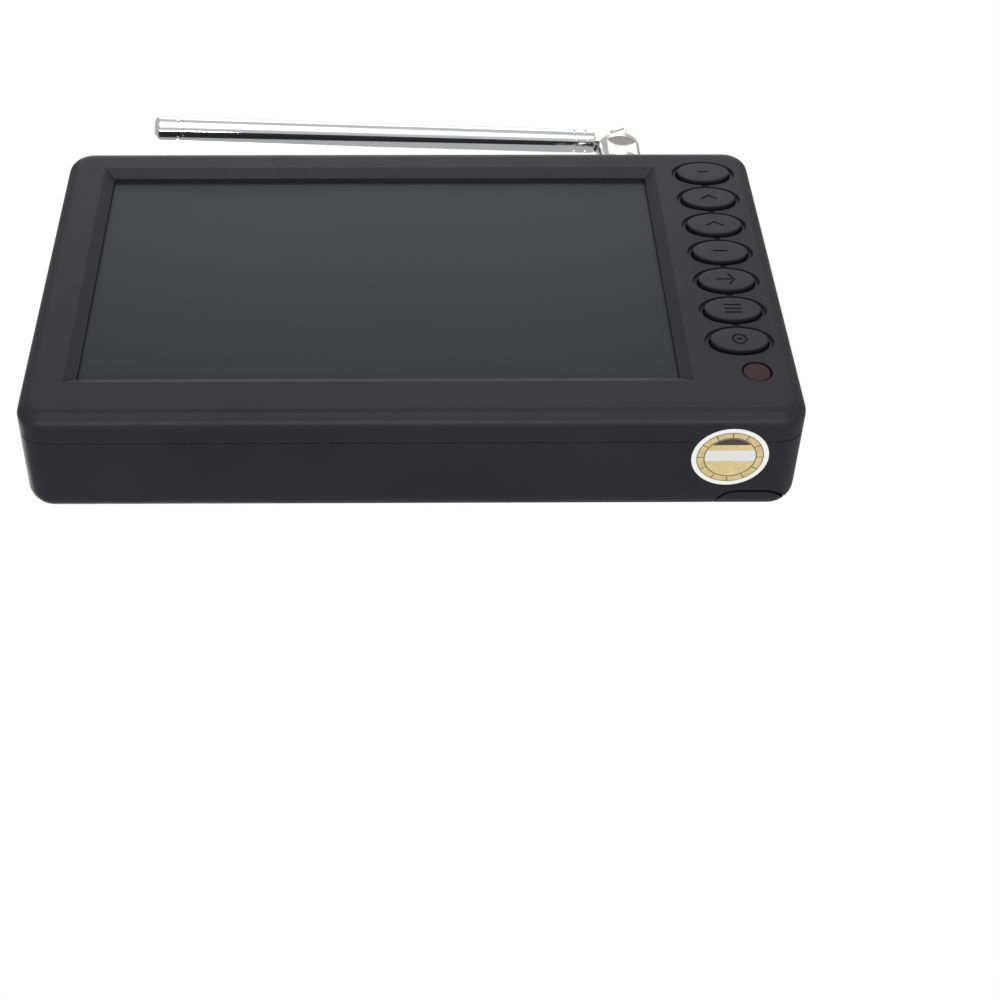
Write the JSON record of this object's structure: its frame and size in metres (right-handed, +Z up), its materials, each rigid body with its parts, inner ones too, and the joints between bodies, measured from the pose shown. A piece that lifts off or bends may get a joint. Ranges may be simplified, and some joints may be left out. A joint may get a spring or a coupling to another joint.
{
  "type": "portable television",
  "caption": "Pocket-size portable television with a widescreen panel, oval keys, rear speakers, a fold-out stand leg and a swivelling telescopic aerial.",
  "frame": {"origin": "middle of the flat bottom side that the set stands on", "axes": "+X to the viewer's right along the longest side, screen faces -Y, +Z up"},
  "size_m": [0.141, 0.0261, 0.1126],
  "materials": {
    "case_black": "fine moulded texture, matt",
    "key_black": "satin caps with engraved symbols",
    "screen_grey": "anti-glare polariser, semi-matt dark grey, opaque when off",
    "tray_white": "white moulded light guide tray",
    "pressed_steel": "zinc plated sheet",
    "screw_steel": "zinc plated",
    "ir_red": "dark red infra-red filter, polished",
    "board_green": "green solder resist",
    "chip_black": "moulded chip package",
    "sink_aluminium": "extruded, clear finish",
    "tinned_steel": "tinned screening can",
    "capacitor_sleeve": "bare aluminium cans",
    "connector_cream": "cream nylon headers",
    "battery_foil": "laminated pouch foil",
    "lead_red": "insulated hook-up wire",
    "ribbon_amber": "polyimide flexible circuit",
    "jack_black": "socket mouldings",
    "basket_steel": "black coated pressed steel",
    "magnet_zinc": "zinc plated magnet pot",
    "cone_paper": "dark pressed paper",
    "label_paper": "grey and white printed label with plain bars",
    "seal_foil": "gold and white foil sticker with plain rings",
    "nickel": "nickel plated brass",
    "chrome": "polished chrome plating",
    "coax_black": "black coaxial lead"
  },
  "bodies": {
    "case": {"front_shell": "case_black", "rear_shell": "case_black", "lcd_panel": "screen_grey", "lcd_backlight": "tray_white", "lcd_bracket": "pressed_steel", "lcd_bracket_screws": "screw_steel", "ir_window": "ir_red", "ir_receiver": "chip_black", "key_board": "board_green", "key_board_screws": "screw_steel", "tact_switches": "jack_black", "speaker_frame_left": "basket_steel", "speaker_magnet_left": "magnet_zinc", "speaker_cone_left": "cone_paper", "speaker_leads_left": "lead_red", "speaker_frame_right": "basket_steel", "speaker_magnet_right": "magnet_zinc", "speaker_cone_right": "cone_paper", "speaker_leads_right": "lead_red", "main_board": "board_green", "main_board_screws": "screw_steel", "main_chip": "chip_black", "heat_sink": "sink_aluminium", "tuner_can": "tinned_steel", "board_capacitors": "capacitor_sleeve", "board_connectors": "connector_cream", "battery_pack": "battery_foil", "battery_lead": "lead_red", "lcd_ribbon": "ribbon_amber", "key_ribbon": "ribbon_amber", "dc_jack": "jack_black", "av_jack": "jack_black", "usb_port": "tinned_steel", "power_switch_body": "jack_black", "stand_pin": "screw_steel", "seal_sticker": "seal_foil", "rating_label": "label_paper", "aerial_socket": "nickel", "aerial_socket_nut": "nickel", "aerial_coupling_nut": "nickel", "aerial_plug": "nickel", "aerial_lead": "coax_black"},
    "power_slider": {"power_switch_slider": "key_black"},
    "stand": {"stand_leg": "case_black"},
    "aerial_head": {"aerial_fork": "nickel", "aerial_fork_pin": "nickel"},
    "aerial_base": {"aerial_root": "chrome", "aerial_section_1": "chrome"},
    "aerial_tube_2": {"aerial_section_2": "chrome"},
    "aerial_tube_3": {"aerial_section_3": "chrome"},
    "aerial_tube_4": {"aerial_section_4": "chrome"},
    "aerial_end": {"aerial_rod": "chrome", "aerial_tip": "chrome"},
    "key_1": {"button_1": "key_black"},
    "key_2": {"button_2": "key_black"},
    "key_3": {"button_3": "key_black"},
    "key_4": {"button_4": "key_black"},
    "key_5": {"button_5": "key_black"},
    "key_6": {"button_6": "key_black"},
    "key_7": {"button_7": "key_black"}
  },
  "joints": [
    {"name": "key_1_press", "type": "slide", "parent": "case", "child": "key_1", "axis": [0, 1, 0], "range_m": [0, 0.00045], "stiffness_N_per_m": 2000, "springref_m": -0.0004},
    {"name": "key_2_press", "type": "slide", "parent": "case", "child": "key_2", "axis": [0, 1, 0], "range_m": [0, 0.00045], "stiffness_N_per_m": 2000, "springref_m": -0.0004},
    {"name": "key_3_press", "type": "slide", "parent": "case", "child": "key_3", "axis": [0, 1, 0], "range_m": [0, 0.00045], "stiffness_N_per_m": 2000, "springref_m": -0.0004},
    {"name": "key_4_press", "type": "slide", "parent": "case", "child": "key_4", "axis": [0, 1, 0], "range_m": [0, 0.00045], "stiffness_N_per_m": 2000, "springref_m": -0.0004},
    {"name": "key_5_press", "type": "slide", "parent": "case", "child": "key_5", "axis": [0, 1, 0], "range_m": [0, 0.00045], "stiffness_N_per_m": 2000, "springref_m": -0.0004},
    {"name": "key_6_press", "type": "slide", "parent": "case", "child": "key_6", "axis": [0, 1, 0], "range_m": [0, 0.00045], "stiffness_N_per_m": 2000, "springref_m": -0.0004},
    {"name": "key_7_press", "type": "slide", "parent": "case", "child": "key_7", "axis": [0, 1, 0], "range_m": [0, 0.00045], "stiffness_N_per_m": 2000, "springref_m": -0.0004},
    {"name": "power_slide", "type": "slide", "parent": "case", "child": "power_slider", "axis": [0, 0, 1], "range_m": [0, 0.003]},
    {"name": "stand_pivot", "type": "hinge", "parent": "case", "child": "stand", "pos_m": [0.0588, 0.01055, 0.0524], "axis": [1, 0, 0], "range_deg": [0, 60]},
    {"name": "aerial_swivel", "type": "hinge", "parent": "case", "child": "aerial_head", "pos_m": [0.0474, 0.0056, 0.11], "axis": [0, 0, 1], "continuous": true},
    {"name": "aerial_fold", "type": "hinge", "parent": "aerial_head", "child": "aerial_base", "pos_m": [0.0474, 0.0056, 0.11], "axis": [0.1349, -0.9909, 0], "range_deg": [-98, 0]},
    {"name": "aerial_slide_1", "type": "slide", "parent": "aerial_base", "child": "aerial_tube_2", "axis": [-0.9812, -0.1335, -0.1392], "range_m": [0, 0.075]},
    {"name": "aerial_slide_2", "type": "slide", "parent": "aerial_tube_2", "child": "aerial_tube_3", "axis": [-0.9812, -0.1335, -0.1392], "range_m": [0, 0.075]},
    {"name": "aerial_slide_3", "type": "slide", "parent": "aerial_tube_3", "child": "aerial_tube_4", "axis": [-0.9812, -0.1335, -0.1392], "range_m": [0, 0.075]},
    {"name": "aerial_slide_4", "type": "slide", "parent": "aerial_tube_4", "child": "aerial_end", "axis": [-0.9812, -0.1335, -0.1392], "range_m": [0, 0.075]}
  ]
}
